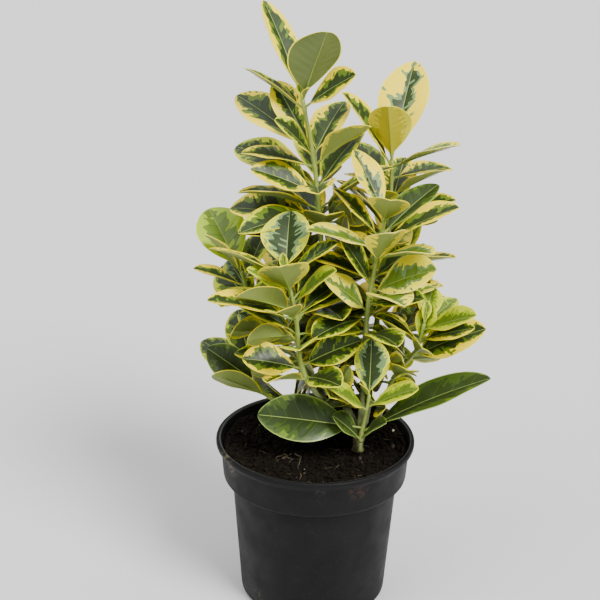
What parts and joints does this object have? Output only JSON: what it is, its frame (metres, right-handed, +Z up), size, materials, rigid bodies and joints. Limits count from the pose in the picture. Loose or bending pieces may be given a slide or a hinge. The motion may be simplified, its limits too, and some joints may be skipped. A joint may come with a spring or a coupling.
{
  "type": "potted euonymus",
  "caption": "Young evergreen shrub with yellow-edged oval leaves on upright shoots, growing in a round tapered plastic nursery pot filled with peat.",
  "frame": {"origin": "centre of the pot's flat underside", "axes": "+Z up along the pot's axis; +Y away from the side that the plant is best seen from; +X to the right in that view"},
  "size_m": [0.1744, 0.1386, 0.355],
  "materials": {
    "pot_plastic": "satin black injection-moulded plastic",
    "peat": "moist dark peat",
    "foot_bark": "matt young bark",
    "shoot_bark": "smooth green stem",
    "leaf": "leathery green leaf with a yellow edge"
  },
  "bodies": {
    "root": {"pot": "pot_plastic", "soil": "peat", "stem_foot": "foot_bark", "bough_left_leader": "shoot_bark", "bough_right_leader": "shoot_bark", "bough_front_right": "shoot_bark", "bough_front_left": "shoot_bark", "bough_left_side": "shoot_bark", "bough_low_left": "shoot_bark", "bough_right_side": "shoot_bark", "bough_front_low": "shoot_bark", "bough_back_left": "shoot_bark", "bough_back_right": "shoot_bark", "leaves_left_leader": "leaf", "leaves_right_leader": "leaf", "leaves_front_right": "leaf", "leaves_front_left": "leaf", "leaves_left_side": "leaf", "leaves_low_left": "leaf", "leaves_right_side": "leaf", "leaves_front_low": "leaf", "leaves_back_left": "leaf", "leaves_back_right": "leaf"}
  },
  "joints": []
}
